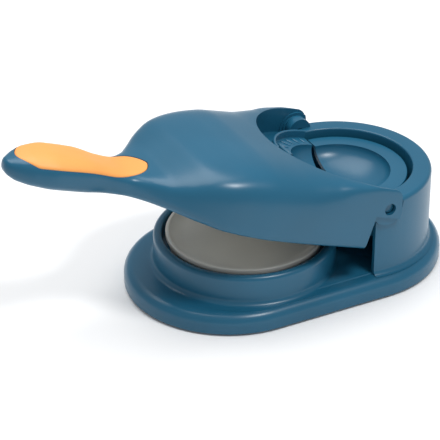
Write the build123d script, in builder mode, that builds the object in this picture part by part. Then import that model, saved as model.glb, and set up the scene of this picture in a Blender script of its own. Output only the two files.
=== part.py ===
from build123d import *
import os
from math import cos, radians, sin

# Press for filled pastries. A disc of dough is pressed in the round cup, then folded in the mould behind it.
# +X runs from the cup to the housing at the back, +Z is up, and the origin lies under the middle of the foot,
# on the surface that the press stands on. The lever points over the cup and past it, towards -X.
# Lever pieces are drawn with the lever shut, in two measures from the hinge line: `along`, from the hinge
# towards the grip, and `height`, up from the hinge line. At the end they are swung up to their rest position.

# Foot, deck and underside
foot_end_radius = 55.0
foot_half_span = 33.0
foot_underside = 1.0
foot_top = 11.2
foot_edge_round = 5.2
deck_top = 12.0
deck_end_radius = 46.5
deck_edge_round = 0.7
shell_wall = 2.3
wall_sweep = 2.4

# Cup and lower press plate
cup_x = -23.5
cup_radius = 48.0
cup_top = 27.5
cup_floor = 20.0
cup_rim_round = 2.1
cup_flat_x = 22.0
plate_radius = 41.5
plate_top = 28.5
plate_depth = 4.5
plate_flat_radius = 31.0
plate_wall = 2.0
plate_skirt_inset = 2.0
groove = 2.0

# Housing with the well for the fixed mould leaf
house_x = 33.0
house_front_x = 26.5
house_radius = 48.5
house_top = 53.0
house_rim_round = 1.6
well_radius = 38.5
well_floor = 32.0
well_rim_round = 0.8

# Hinge
hinge_x = 33.0
hinge_z = 50.5
lug_radius = 6.6
lug_rise = 1.6
lug_thickness = 4.5
ear_radius = 9.5
ear_inner = 46.9
ear_boss_radius = 8.0
ear_thickness = 1.6
ear_outer = 49.8
ear_notch_gap = 0.4
pin_radius = 3.0
pin_press_gap = 0.02
pin_running_gap = 0.07
pin_recess = 0.8
rest_swing = 20.0

# Mould leaves
rear_leaf_radius = 35.8
rear_leaf_top = 49.4
leaf_wall = 1.8
leaf_bowl_radius = 27.0
leaf_bowl_depth = 11.4
leaf_hinge_gap = 1.0
collar_radius = 37.9
collar_wall = 1.6
collar_height = 4.0
front_rim_height = 0.0
tab_width = 11.4
tab_height = 6.2
tab_radius = 38.1
tab_thickness = 2.2
tab_slot_gap = 0.5
crimp_height = 0.8
crimp_count = 17
leaf_post_radius = 3.0
leaf_post_circle = 31.4
leaf_post_angle = 42.0

# Lever
lever_wall = 2.3
lever_rim_height = -23.5
opening_radius = 49.6
channel_floor_height = -3.5
channel_wall = 1.8
hinge_clearance = 8.6
skirt_rear = 6.9
ear_arm_rear = -3.6
arm_corner_round = 4.0
arm_corner_height = 7.8
handle_underside = -24.0
handle_tip = 193.8

# Grip inlay and handle cover
grip_edge_height = -13.2
inlay_thickness = 1.5
inlay_gap = 0.12
cover_rear = 113.0
cover_wall = 1.8
cover_gap = 0.3

# Upper press plate
upper_plate_radius = 38.4
upper_flat_radius = 30.0
press_gap = 1.3
press_rise = 4.6
upper_skirt_height = 4.0
plate_boss_circle = 27.0
socket_height = 2.0

# Fixings
screw_radius = 1.5
screw_head_radius = 2.8
screw_head_height = 1.6
screw_length = 6.0
screw_gap = 0.05
boss_radius = 3.6
pad_radius = 7.0
pad_height = 2.2
pad_seat_gap = 0.1

hinge_axis = Axis((hinge_x, 0, hinge_z), (0, 1, 0))
cup_axis = Axis((cup_x, 0, 0), (0, 0, 1))
house_axis = Axis((house_x, 0, 0), (0, 0, 1))
cup_profile_plane = Plane(origin=(cup_x, 0, 0), x_dir=(1, 0, 0), z_dir=(0, -1, 0))
house_profile_plane = Plane(origin=(house_x, 0, 0), x_dir=(1, 0, 0), z_dir=(0, -1, 0))
lug_inner = well_radius + 3.7
lug_outer = lug_inner + lug_thickness
cover_top = foot_underside + cover_wall


def height_plane(height):
    """Level plane at a height from the hinge line, its x running along the lever to the grip."""
    return Plane(origin=(hinge_x, 0, hinge_z + height), x_dir=(-1, 0, 0), z_dir=(0, 0, 1))


def along_plane(along):
    """Upright plane across the lever, at a distance along it from the hinge line."""
    return Plane(origin=(hinge_x - along, 0, hinge_z), x_dir=(0, 1, 0), z_dir=(1, 0, 0))


# The side view of the lever: x along it and y up, both from the hinge line.
lever_side_plane = Plane(origin=(hinge_x, 0, hinge_z), x_dir=(-1, 0, 0), z_dir=(0, 1, 0))
lever_axis = Axis((hinge_x, 0, hinge_z), (0, 0, 1))


# --- Base shell ---------------------------------------------------------------------------------

cover_screw_places = [(-74, 0), (-33, 45), (-33, -45), (33, 45), (33, -45), (75, 0)]
pad_places = [(-62, 30), (-62, -30), (62, 30), (62, -30), (0, 0)]
plate_screw_places = [
    (cup_x + 24 * cos(radians(a)), 24 * sin(radians(a))) for a in (60, 180, 300)
]
rear_post_places = [
    (house_x + leaf_post_circle * cos(radians(a)), leaf_post_circle * sin(radians(a)))
    for a in (-leaf_post_angle, leaf_post_angle)
]

# The housing is turned about its own axis: well floor, well wall, ring top and outer wall in one section.
with BuildPart() as housing:
    with BuildSketch(house_profile_plane):
        with BuildLine():
            Polyline(
                (house_radius, foot_top + wall_sweep),
                (house_radius, house_top - house_rim_round),
            )
            RadiusArc(
                (house_radius, house_top - house_rim_round),
                (house_radius - house_rim_round, house_top),
                -house_rim_round,
            )
            Line((house_radius - house_rim_round, house_top), (well_radius + well_rim_round, house_top))
            RadiusArc(
                (well_radius + well_rim_round, house_top),
                (well_radius, house_top - well_rim_round),
                -well_rim_round,
            )
            Polyline(
                (well_radius, house_top - well_rim_round),
                (well_radius, well_floor),
                (0, well_floor),
                (0, well_floor - shell_wall),
                (well_radius + shell_wall, well_floor - shell_wall),
                (well_radius + shell_wall, house_top - shell_wall),
                (house_radius - shell_wall, house_top - shell_wall),
                (house_radius - shell_wall, foot_top),
                (house_radius + wall_sweep, foot_top),
            )
            RadiusArc(
                (house_radius + wall_sweep, foot_top),
                (house_radius, foot_top + wall_sweep),
                wall_sweep,
            )
        make_face()
    revolve(axis=house_axis)
    split(bisect_by=Plane.YZ.offset(house_front_x), keep=Keep.TOP)

with BuildPart() as base_shell:
    with BuildSketch(Plane.XY.offset(foot_underside)):
        SlotCenterToCenter(2 * foot_half_span, 2 * foot_end_radius)
    extrude(amount=foot_top - foot_underside)
    fillet(faces().sort_by(Axis.Z)[-1].edges(), foot_edge_round)

    # Deck between the cup and the housing
    with BuildSketch(Plane.XY.offset(foot_top - 1)):
        with Locations(((cup_x + house_x) / 2, 0)):
            SlotCenterToCenter(house_x - cup_x, 2 * deck_end_radius)
    extrude(amount=deck_top - foot_top + 1)
    fillet(faces().sort_by(Axis.Z)[-1].edges(), deck_edge_round)

    # Cup: swept foot, upright wall, rounded rim, and the groove round the plate
    with BuildSketch(cup_profile_plane):
        with BuildLine():
            Line((cup_radius, foot_top + wall_sweep), (cup_radius, cup_top - cup_rim_round))
            RadiusArc(
                (cup_radius, cup_top - cup_rim_round),
                (cup_radius - cup_rim_round, cup_top),
                -cup_rim_round,
            )
            Line((cup_radius - cup_rim_round, cup_top), (plate_radius + groove + 1, cup_top))
            Polyline(
                (plate_radius + groove + 1, cup_top),
                (plate_radius + groove, cup_top - 1),
                (plate_radius + groove, cup_floor),
                (0, cup_floor),
                (0, foot_top - 1),
                (cup_radius + wall_sweep, foot_top - 1),
                (cup_radius + wall_sweep, foot_top),
            )
            RadiusArc(
                (cup_radius + wall_sweep, foot_top),
                (cup_radius, foot_top + wall_sweep),
                wall_sweep,
            )
        make_face()
    revolve(axis=cup_axis)
    # The cup is flat at the back, where the mould swings past it
    with BuildSketch(Plane.XY.offset(deck_top)):
        with Locations((cup_flat_x, 0)):
            Rectangle(10, cup_radius, align=(Align.MIN, Align.CENTER))
    extrude(amount=cup_top, mode=Mode.SUBTRACT)

    # Hollow underside
    with BuildSketch(Plane.XY.offset(foot_underside)):
        SlotCenterToCenter(2 * foot_half_span, 2 * (foot_end_radius - shell_wall))
    extrude(amount=foot_top - foot_edge_round - foot_underside, mode=Mode.SUBTRACT)
    with BuildSketch(Plane.XY.offset(foot_underside)):
        with Locations(((cup_x + house_x) / 2, 0)):
            SlotCenterToCenter(house_x - cup_x, 2 * (deck_end_radius - shell_wall))
    extrude(amount=deck_top - shell_wall - foot_underside, mode=Mode.SUBTRACT)
    with BuildSketch(Plane.XY.offset(foot_underside)):
        with Locations((cup_x, 0)):
            Circle(cup_radius - shell_wall)
        with Locations((cup_flat_x - shell_wall, 0)):
            Rectangle(20, 2 * cup_radius, align=(Align.MIN, Align.CENTER), mode=Mode.SUBTRACT)
    extrude(amount=cup_floor - shell_wall - foot_underside, mode=Mode.SUBTRACT)
    add(housing.part)

    # Bosses under the deck for the cover screws, and holes up through the cup floor and the well floor
    with Locations(*[(x, y, cover_top) for x, y in cover_screw_places]):
        Cylinder(boss_radius, foot_top - 1 - cover_top, align=(Align.CENTER, Align.CENTER, Align.MIN))
        Cylinder(
            screw_radius + screw_gap,
            foot_underside + screw_length + screw_gap - cover_top,
            align=(Align.CENTER, Align.CENTER, Align.MIN),
            mode=Mode.SUBTRACT,
        )
    with Locations(*[(x, y, cup_floor) for x, y in plate_screw_places]):
        Cylinder(screw_radius + screw_gap, 3 * shell_wall, mode=Mode.SUBTRACT)
    with Locations(*[(x, y, well_floor) for x, y in rear_post_places]):
        Cylinder(screw_radius + screw_gap, 3 * shell_wall, mode=Mode.SUBTRACT)

    # Hinge lugs, rounded about the hinge line, and the notches that the ears of the lever turn in
    for side in (-1, 1):
        with BuildSketch(Plane.XZ.offset(-side * lug_inner)):
            with Locations((hinge_x, hinge_z + lug_rise)):
                Circle(lug_radius)
                Rectangle(2 * lug_radius, 3 * lug_radius, align=(Align.CENTER, Align.MAX))
            with Locations((house_front_x, hinge_z)):
                Rectangle(20, 8 * lug_radius, align=(Align.MAX, Align.CENTER), mode=Mode.SUBTRACT)
        extrude(amount=-side * lug_thickness)
        with BuildSketch(Plane.XZ.offset(-side * (lug_outer + 0.05))):
            with Locations((hinge_x, hinge_z)):
                Circle(ear_radius + ear_notch_gap)
                Rectangle(2 * (ear_radius + ear_notch_gap), 20, align=(Align.CENTER, Align.MIN))
        extrude(amount=-side * 12, mode=Mode.SUBTRACT)
        with BuildSketch(Plane.XZ.offset(-side * (lug_inner - 1))):
            with Locations((hinge_x, hinge_z)):
                Circle(pin_radius + pin_press_gap)
        extrude(amount=-side * (lug_thickness + 2), mode=Mode.SUBTRACT)


# --- Underside: cover, screws and rubber pads ----------------------------------------------------

with BuildPart() as bottom_cover:
    with BuildSketch(Plane.XY.offset(foot_underside)):
        SlotCenterToCenter(2 * foot_half_span, 2 * (foot_end_radius - shell_wall - cover_gap))
    extrude(amount=cover_wall)
    with Locations(*[(x, y, foot_underside) for x, y in pad_places]):
        Cylinder(
            pad_radius + pad_seat_gap,
            pad_height - foot_underside,
            align=(Align.CENTER, Align.CENTER, Align.MIN),
            mode=Mode.SUBTRACT,
        )
    with Locations(*[(x, y, foot_underside) for x, y in cover_screw_places]):
        Cylinder(screw_radius + screw_gap, 3 * cover_wall, mode=Mode.SUBTRACT)
        Cylinder(
            screw_head_radius + screw_gap,
            cover_wall / 2,
            align=(Align.CENTER, Align.CENTER, Align.MIN),
            mode=Mode.SUBTRACT,
        )

foot_pads = []
for x, y in pad_places:
    with BuildPart() as foot_pad:
        with Locations((x, y, 0)):
            Cylinder(pad_radius, pad_height, align=(Align.CENTER, Align.CENTER, Align.MIN))
        fillet(foot_pad.faces().sort_by(Axis.Z)[0].edges(), 0.5)
    foot_pads.append(foot_pad)


def upright_screws(places, head_bottom, head_height, shank_length):
    """Screws driven upwards: a flat head with a plain shank above it, one at each place."""
    with BuildPart() as screws:
        with Locations(*[(x, y, head_bottom) for x, y in places]):
            Cylinder(screw_head_radius, head_height, align=(Align.CENTER, Align.CENTER, Align.MIN))
        with Locations(*[(x, y, head_bottom + head_height) for x, y in places]):
            Cylinder(screw_radius, shank_length, align=(Align.CENTER, Align.CENTER, Align.MIN))
    return screws


bottom_cover_screws = upright_screws(
    cover_screw_places, foot_underside, cover_wall / 2, screw_length - cover_wall / 2
)
lower_plate_screws = upright_screws(
    plate_screw_places,
    cup_floor - shell_wall - screw_head_height,
    screw_head_height,
    shell_wall + plate_top - plate_depth - 1 - cup_floor,
)
rear_leaf_screws = upright_screws(
    rear_post_places, well_floor - shell_wall - screw_head_height, screw_head_height, screw_length
)


# --- Lower press plate --------------------------------------------------------------------------

# Shallow dish with a rounded rim, standing on a ring and three screw bosses.
with BuildPart() as lower_press_plate:
    with BuildSketch(cup_profile_plane):
        with BuildLine():
            Line((0, plate_top - plate_depth), (plate_flat_radius, plate_top - plate_depth))
            Spline(
                (plate_flat_radius, plate_top - plate_depth),
                (plate_radius - 2.6, plate_top - 0.9),
                (plate_radius - 1.2, plate_top),
                tangents=((1, 0), (1, 0)),
            )
            RadiusArc((plate_radius - 1.2, plate_top), (plate_radius, plate_top - 1.2), 1.2)
            Polyline(
                (plate_radius, plate_top - 1.2),
                (plate_radius, plate_top - 1.2 - plate_wall),
                (plate_radius - plate_skirt_inset, plate_top - 1.2 - plate_wall),
                (plate_radius - plate_skirt_inset, cup_floor),
                (plate_radius - plate_skirt_inset - plate_wall, cup_floor),
                (plate_radius - plate_skirt_inset - plate_wall, plate_top - plate_depth - 0.6),
                (plate_flat_radius, plate_top - plate_depth - plate_wall),
                (0, plate_top - plate_depth - plate_wall),
                (0, plate_top - plate_depth),
            )
        make_face()
    revolve(axis=cup_axis)
    with Locations(*[(x, y, cup_floor) for x, y in plate_screw_places]):
        Cylinder(
            boss_radius,
            plate_top - plate_depth - plate_wall - cup_floor + 0.5,
            align=(Align.CENTER, Align.CENTER, Align.MIN),
        )
        Cylinder(
            screw_radius + screw_gap,
            plate_top - plate_depth - 0.8 - cup_floor,
            align=(Align.CENTER, Align.CENTER, Align.MIN),
            mode=Mode.SUBTRACT,
        )


# --- Mould leaves -------------------------------------------------------------------------------

def leaf_section(top, skirt_bottom, outer_radius):
    """Half section of a leaf: crimping rim, rounded bowl below it and an outer skirt."""
    with BuildSketch(house_profile_plane, mode=Mode.PRIVATE) as section:
        with BuildLine():
            Line((leaf_bowl_radius, top), (outer_radius, top))
            Polyline(
                (outer_radius, top),
                (outer_radius, skirt_bottom),
                (outer_radius - leaf_wall, skirt_bottom),
                (outer_radius - leaf_wall, top - leaf_wall),
                (leaf_bowl_radius + leaf_wall, top - leaf_wall),
            )
            EllipticalCenterArc(
                (0, top - leaf_wall),
                leaf_bowl_radius + leaf_wall,
                leaf_bowl_depth,
                start_angle=270,
                arc_size=90,
            )
            Line((0, top - leaf_wall - leaf_bowl_depth), (0, top - leaf_bowl_depth))
            EllipticalCenterArc(
                (0, top),
                leaf_bowl_radius,
                leaf_bowl_depth,
                start_angle=270,
                arc_size=90,
            )
        make_face()
    return section.sketch


with BuildPart() as rear_mould_leaf:
    revolve(leaf_section(rear_leaf_top, well_floor, rear_leaf_radius), axis=house_axis)
    with Locations(*[(x, y, well_floor) for x, y in rear_post_places]):
        Cylinder(
            leaf_post_radius,
            rear_leaf_top - 1 - well_floor,
            align=(Align.CENTER, Align.CENTER, Align.MIN),
        )
        Cylinder(
            screw_radius + screw_gap,
            screw_length,
            align=(Align.CENTER, Align.CENTER, Align.MIN),
            mode=Mode.SUBTRACT,
        )
    # Slot that the tab of the other leaf drops into
    with BuildSketch(Plane.XY.offset(hinge_z - tab_height - tab_slot_gap)):
        with Locations((house_x + tab_radius, 0)):
            Rectangle(
                2 * (tab_thickness + tab_slot_gap),
                tab_width + 2 * tab_slot_gap,
            )
        with Locations((house_x, 0)):
            Circle(tab_radius - tab_thickness - tab_slot_gap, mode=Mode.SUBTRACT)
    extrude(amount=2 * tab_height, mode=Mode.SUBTRACT)
    split(bisect_by=Plane.YZ.offset(hinge_x + leaf_hinge_gap), keep=Keep.TOP)

front_post_places = [
    (hinge_x - leaf_post_circle * cos(radians(a)), leaf_post_circle * sin(radians(a)))
    for a in (-leaf_post_angle, leaf_post_angle)
]
channel_floor = hinge_z + channel_floor_height
front_rim = hinge_z + front_rim_height

with BuildPart() as front_mould_leaf:
    revolve(leaf_section(front_rim, channel_floor, collar_radius), axis=house_axis)
    # Collar standing above the rim, with a rounded edge
    with BuildSketch(house_profile_plane):
        with BuildLine():
            Polyline(
                (collar_radius - collar_wall, front_rim + collar_height - 0.5),
                (collar_radius - collar_wall, front_rim - leaf_wall),
                (collar_radius, front_rim - leaf_wall),
                (collar_radius, front_rim + collar_height - 0.5),
            )
            ThreePointArc(
                (collar_radius, front_rim + collar_height - 0.5),
                (collar_radius - collar_wall / 2, front_rim + collar_height),
                (collar_radius - collar_wall, front_rim + collar_height - 0.5),
            )
        make_face()
    revolve(axis=house_axis)
    # Tab at the middle of the collar
    with BuildSketch(Plane.XY.offset(front_rim)):
        with Locations((house_x, 0)):
            Circle(tab_radius)
            Circle(tab_radius - tab_thickness, mode=Mode.SUBTRACT)
        with Locations((house_x - collar_radius, 0)):
            Rectangle(2 * collar_wall + 2 * tab_thickness, tab_width, mode=Mode.INTERSECT)
    extrude(amount=tab_height)
    # Crimping ridges on the rim
    for i in range(crimp_count):
        angle = 180 + (i - (crimp_count - 1) / 2) * 160 / (crimp_count - 1)
        middle = (leaf_bowl_radius + collar_radius - collar_wall) / 2
        with Locations(
            Location(
                (house_x + middle * cos(radians(angle)), middle * sin(radians(angle)), front_rim - 0.2),
                (0, 0, angle),
            )
        ):
            Box(
                collar_radius - collar_wall - leaf_bowl_radius - 3,
                1.4,
                crimp_height + 0.2,
                align=(Align.CENTER, Align.CENTER, Align.MIN),
            )
    with Locations(*[(x, y, channel_floor) for x, y in front_post_places]):
        Cylinder(leaf_post_radius, front_rim - channel_floor - 0.5, align=(Align.CENTER, Align.CENTER, Align.MIN))
        Cylinder(
            screw_radius + screw_gap,
            front_rim - channel_floor - 0.7,
            align=(Align.CENTER, Align.CENTER, Align.MIN),
            mode=Mode.SUBTRACT,
        )
    split(bisect_by=Plane.YZ.offset(hinge_x - leaf_hinge_gap), keep=Keep.BOTTOM)


# --- Hinge pins ---------------------------------------------------------------------------------

def hinge_pin(side):
    """Short pin pressed into a lug from outside, its chamfered end just inside the ear's outer face."""
    with BuildPart() as pin:
        with BuildSketch(Plane.XZ.offset(-side * lug_inner)):
            with Locations((hinge_x, hinge_z)):
                Circle(pin_radius)
        extrude(amount=-side * (ear_outer - pin_recess - lug_inner))
        chamfer(pin.faces().sort_by(Axis.Y)[-1 if side > 0 else 0].edges(), 0.5)
    return pin


pivot_pin_near = hinge_pin(-1)
pivot_pin_far = hinge_pin(1)


# --- Lever --------------------------------------------------------------------------------------

# Cross-sections along the lever: distance along, half width, half width of the flat underside, underside,
# height of the widest line, crest, and how square the shoulder is.
lever_stations = (
    (-8, 50.9, 49.2, lever_rim_height, -20.4, 12.2, 28.0),
    (8, 51.2, 49.1, lever_rim_height, -20.4, 12.0, 26.0),
    (20, 51.4, 49.4, lever_rim_height, -20.6, 11.3, 17.0),
    (34, 51.4, 49.8, lever_rim_height, -21.0, 11.0, 7.0),
    (50, 51.3, 50.0, lever_rim_height, -21.2, 10.5, 4.8),
    (66, 50.4, 49.2, lever_rim_height, -21.6, 10.5, 4.6),
    (78, 48.4, 46.8, lever_rim_height, -21.8, 8.9, 4.8),
    (89, 45.9, 42.6, lever_rim_height, -21.0, 6.1, 4.9),
    (99, 41.1, 34.2, lever_rim_height, -18.2, 2.6, 4.7),
    (107, 35.0, 25.0, -23.6, -18.0, -3.2, 4.6),
    (114, 27.1, 16.7, -23.8, -18.0, -8.0, 4.4),
    (122, 18.6, 11.0, handle_underside, -18.0, -10.2, 3.8),
    (131, 14.1, 8.0, handle_underside, -18.0, -11.4, 3.3),
    (141, 13.5, 7.3, handle_underside, -18.0, -10.3, 3.25),
    (155, 15.5, 8.5, handle_underside, -18.0, -7.9, 3.2),
    (170, 16.1, 8.6, handle_underside, -18.0, -7.4, 3.0),
    (181, 13.2, 6.4, handle_underside, -18.0, -9.2, 3.0),
    (187, 9.6, 3.9, -23.6, -17.9, -11.6, 3.0),
    (191.5, 5.5, 1.8, -22.0, -17.5, -13.9, 2.6),
    (handle_tip, 2.4, 1.0, -19.4, -17.3, -15.2, 2.2),
)


def lever_section(station, inset):
    """One cross-section, drawn in by `inset` on the sides and top; an inset one runs out below the rim."""
    along, half_width, half_flat, underside, widest, crest, squareness = station
    side = half_width - inset
    flat = half_flat - 0.6 * inset
    bottom = underside - (2 if inset > 0 else 0)
    rise = crest - inset - widest
    shoulder = [
        (side * cos(radians(a)) ** (2 / squareness), widest + rise * sin(radians(a)) ** (2 / squareness))
        for a in (0, 15, 30, 45, 60, 75)
    ]
    with BuildSketch(along_plane(along), mode=Mode.PRIVATE) as section:
        with BuildLine():
            Line((-flat, bottom), (flat, bottom))
            Spline((flat, bottom), (side, widest), tangents=((1, 0.25), (0, 1)))
            Spline(*shoulder, (0, widest + rise), tangents=((0, 1), (-1, 0)))
            mirror(about=Plane.YZ)
        make_face()
    return section.sketch


def lever_form(inset, stations):
    """The lever's sculpted form, drawn in by `inset`."""
    with BuildPart() as form:
        loft([lever_section(station, inset) for station in stations])
    return form.part


lever_outside = lever_form(0, lever_stations)
lever_inside = lever_form(lever_wall, lever_stations[:-2])
inlay_bed = lever_form(inlay_thickness + inlay_gap, lever_stations[8:-1])
inlay_back = lever_form(inlay_thickness, lever_stations[8:-1])


def grip_outline(gap):
    """Plan of the inlay: a round lobe behind, a waist, a wide palm and a blunt front."""
    with BuildSketch(height_plane(grip_edge_height), mode=Mode.PRIVATE) as outline:
        with BuildLine():
            Spline(
                (116.2 - gap, 0),
                (119, 6.0 + gap),
                (124, 9.8 + gap),
                (133, 11.7 + gap),
                (142, 12.4 + gap),
                (153, 14.2 + gap),
                (164, 15.1 + gap),
                (174, 14.1 + gap),
                (181.5, 11.2 + gap),
                (186.2, 6.8 + gap),
                (188.4 + gap, 0),
                tangents=((0, 1), (0, -1)),
            )
            mirror(about=Plane.XZ)
        make_face()
    return outline.sketch


def cover_outline(gap):
    """Plan of the handle cover, which fills the opening in the flat underside of the handle."""
    handle = [st for st in lever_stations[:-2] if st[0] > cover_rear]
    edge = [(along, half_flat - 0.6 * lever_wall - gap) for along, _, half_flat, *_ in handle]
    front_along, front_half = edge[-1]
    edge[-1] = (front_along - gap, front_half)
    edge.insert(0, (cover_rear, edge[0][1] + 1))
    with BuildSketch(height_plane(handle_underside), mode=Mode.PRIVATE) as outline:
        with BuildLine():
            Spline(*edge)
            Line(edge[-1], (edge[-1][0], 0))
            Line(edge[0], (cover_rear, 0))
            mirror(about=Plane.XZ)
        make_face()
    return outline.sketch


plate_boss_places = [
    (cup_x + plate_boss_circle * cos(radians(a)), plate_boss_circle * sin(radians(a)))
    for a in (45, 135, 225, 315)
]
cover_boss_places = [(hinge_x - along, 0) for along in (124, 174)]
upper_plate_face = plate_top - plate_depth + press_gap
upper_plate_back = upper_plate_face + plate_wall
socket_top = upper_plate_back + socket_height
cover_back = hinge_z + handle_underside + cover_wall

# Room inside the lever: it stops short of the round opening's wall and floor, and of the bosses that hang
# from the skin for the upper press plate and the handle cover
with BuildPart() as lever_cavity:
    add(lever_inside)
    with BuildSketch(height_plane(channel_floor_height - channel_wall)):
        Circle(opening_radius + channel_wall)
    extrude(amount=40, mode=Mode.SUBTRACT)
    with BuildSketch(Plane.XY.offset(socket_top)):
        with Locations(*plate_boss_places):
            Circle(boss_radius)
    extrude(amount=60, mode=Mode.SUBTRACT)
    with BuildSketch(Plane.XY.offset(cover_back)):
        with Locations(*cover_boss_places):
            Circle(boss_radius)
    extrude(amount=60, mode=Mode.SUBTRACT)

with BuildPart() as inlay_pocket:
    extrude(grip_outline(inlay_gap), amount=30)
    add(inlay_bed, mode=Mode.SUBTRACT)

with BuildPart() as lever_shell:
    add(lever_outside)
    add(lever_cavity.part, mode=Mode.SUBTRACT)
    # Opening, with a floor left for the mould leaf and a hole for its bowl
    with BuildSketch(height_plane(channel_floor_height)):
        Circle(opening_radius)
    extrude(amount=30, mode=Mode.SUBTRACT)
    with BuildSketch(height_plane(channel_floor_height - 2 * channel_wall)):
        Circle(leaf_bowl_radius + leaf_wall + 0.6)
    extrude(amount=4 * channel_wall, mode=Mode.SUBTRACT)
    # Nothing but the ears comes nearer to the hinge line than the lugs allow
    with BuildSketch(lever_side_plane.offset(0.1 - ear_inner)):
        Rectangle(2 * hinge_clearance, 100)
    extrude(amount=2 * ear_inner - 0.2, mode=Mode.SUBTRACT)
    # Rear edges of the arms and of the skirt below them
    with BuildSketch(lever_side_plane.offset(-70)):
        with Locations((ear_arm_rear, 0)):
            Rectangle(60, 120, align=(Align.MAX, Align.CENTER))
        with Locations((ear_arm_rear, arm_corner_height)):
            Rectangle(arm_corner_round, 30, align=(Align.MIN, Align.MIN))
        with Locations((ear_arm_rear + arm_corner_round, arm_corner_height)):
            Circle(arm_corner_round, mode=Mode.SUBTRACT)
        with Locations((skirt_rear, -ear_radius / 2)):
            Rectangle(60, 60, align=(Align.MAX, Align.MAX))
    extrude(amount=140, mode=Mode.SUBTRACT)
    # Ledge under the mould leaf between the lugs
    with BuildSketch(height_plane(channel_floor_height - channel_wall)):
        Circle(collar_radius)
        Circle(leaf_bowl_radius + leaf_wall + 0.6, mode=Mode.SUBTRACT)
        with Locations((leaf_hinge_gap, 0)):
            Rectangle(hinge_clearance, 100, align=(Align.MIN, Align.CENTER), mode=Mode.INTERSECT)
    extrude(amount=channel_wall)
    # Ears with their pin holes
    for side in (-1, 1):
        with BuildSketch(Plane.XZ.offset(-side * ear_inner)):
            with Locations((hinge_x, hinge_z)):
                Circle(ear_boss_radius)
        extrude(amount=-side * (ear_outer - ear_inner))
        with BuildSketch(Plane.XZ.offset(-side * (ear_outer - ear_thickness))):
            with Locations((hinge_x, hinge_z)):
                Circle(ear_radius)
        extrude(amount=-side * ear_thickness)
        with BuildSketch(Plane.XZ.offset(-side * (ear_inner - 1))):
            with Locations((hinge_x, hinge_z)):
                Circle(pin_radius + pin_running_gap)
        extrude(amount=-side * 20, mode=Mode.SUBTRACT)
    add(inlay_pocket.part, mode=Mode.SUBTRACT)
    # Screw holes: plate bosses, cover bosses and the ledge under the leaf
    with Locations(*[(x, y, socket_top) for x, y in plate_boss_places]):
        Cylinder(
            screw_radius + screw_gap,
            screw_length,
            align=(Align.CENTER, Align.CENTER, Align.MIN),
            mode=Mode.SUBTRACT,
        )
    with Locations(*[(x, y, cover_back) for x, y in cover_boss_places]):
        Cylinder(
            screw_radius + screw_gap,
            screw_length,
            align=(Align.CENTER, Align.CENTER, Align.MIN),
            mode=Mode.SUBTRACT,
        )
    with Locations(*[(x, y, channel_floor) for x, y in front_post_places]):
        Cylinder(screw_radius + screw_gap, 3 * channel_wall, mode=Mode.SUBTRACT)

with BuildPart() as grip_inlay:
    extrude(grip_outline(0), amount=30)
    add(lever_outside, mode=Mode.INTERSECT)
    add(inlay_back, mode=Mode.SUBTRACT)

with BuildPart() as handle_cover:
    extrude(cover_outline(cover_gap), amount=cover_wall)
    with Locations(*[(x, y, hinge_z + handle_underside) for x, y in cover_boss_places]):
        Cylinder(screw_radius + screw_gap, 3 * cover_wall, mode=Mode.SUBTRACT)
        Cylinder(
            screw_head_radius + screw_gap,
            cover_wall / 2,
            align=(Align.CENTER, Align.CENTER, Align.MIN),
            mode=Mode.SUBTRACT,
        )

# Upper press plate: a shallow convex dish with an upright skirt and four screw sockets on its back
with BuildPart() as upper_press_plate:
    with BuildSketch(cup_profile_plane):
        with BuildLine():
            Line((0, upper_plate_face), (upper_flat_radius, upper_plate_face))
            Spline(
                (upper_flat_radius, upper_plate_face),
                (upper_plate_radius - 1.8, upper_plate_face + 0.6 * press_rise),
                (upper_plate_radius, upper_plate_face + press_rise),
                tangents=((1, 0), (0.4, 1)),
            )
            Polyline(
                (upper_plate_radius, upper_plate_face + press_rise),
                (upper_plate_radius, upper_plate_face + press_rise + upper_skirt_height),
                (upper_plate_radius - plate_wall, upper_plate_face + press_rise + upper_skirt_height),
                (upper_plate_radius - plate_wall, upper_plate_face + press_rise + 0.6),
                (upper_flat_radius - 0.6, upper_plate_back),
                (0, upper_plate_back),
                (0, upper_plate_face),
            )
        make_face()
    revolve(axis=cup_axis)
    with Locations(*[(x, y, upper_plate_face + 0.5) for x, y in plate_boss_places]):
        Cylinder(
            boss_radius,
            plate_wall + socket_height - 0.5,
            align=(Align.CENTER, Align.CENTER, Align.MIN),
        )
    with Locations(*[(x, y, upper_plate_face) for x, y in plate_boss_places]):
        Cylinder(screw_radius + screw_gap, 20, mode=Mode.SUBTRACT)
        Cylinder(
            screw_head_radius + screw_gap,
            screw_head_height,
            align=(Align.CENTER, Align.CENTER, Align.MIN),
            mode=Mode.SUBTRACT,
        )

upper_plate_screws = upright_screws(
    plate_boss_places,
    upper_plate_face,
    screw_head_height,
    socket_top - upper_plate_face - screw_head_height + screw_length - 0.5,
)
front_leaf_screws = upright_screws(
    front_post_places,
    channel_floor - channel_wall - screw_head_height,
    screw_head_height,
    channel_wall + front_rim_height - channel_floor_height - 1,
)
handle_cover_screws = upright_screws(
    cover_boss_places,
    hinge_z + handle_underside,
    cover_wall / 2,
    screw_length,
)


# --- Pieces -------------------------------------------------------------------------------------

base_pieces = {
    "base_shell": base_shell,
    "bottom_cover": bottom_cover,
    "bottom_cover_screws": bottom_cover_screws,
    "lower_press_plate": lower_press_plate,
    "lower_plate_screws": lower_plate_screws,
    "rear_mould_leaf": rear_mould_leaf,
    "rear_leaf_screws": rear_leaf_screws,
    "pivot_pin_near": pivot_pin_near,
    "pivot_pin_far": pivot_pin_far,
}
for number, foot_pad in enumerate(foot_pads, start=1):
    base_pieces[f"foot_pad_{number}"] = foot_pad

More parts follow.
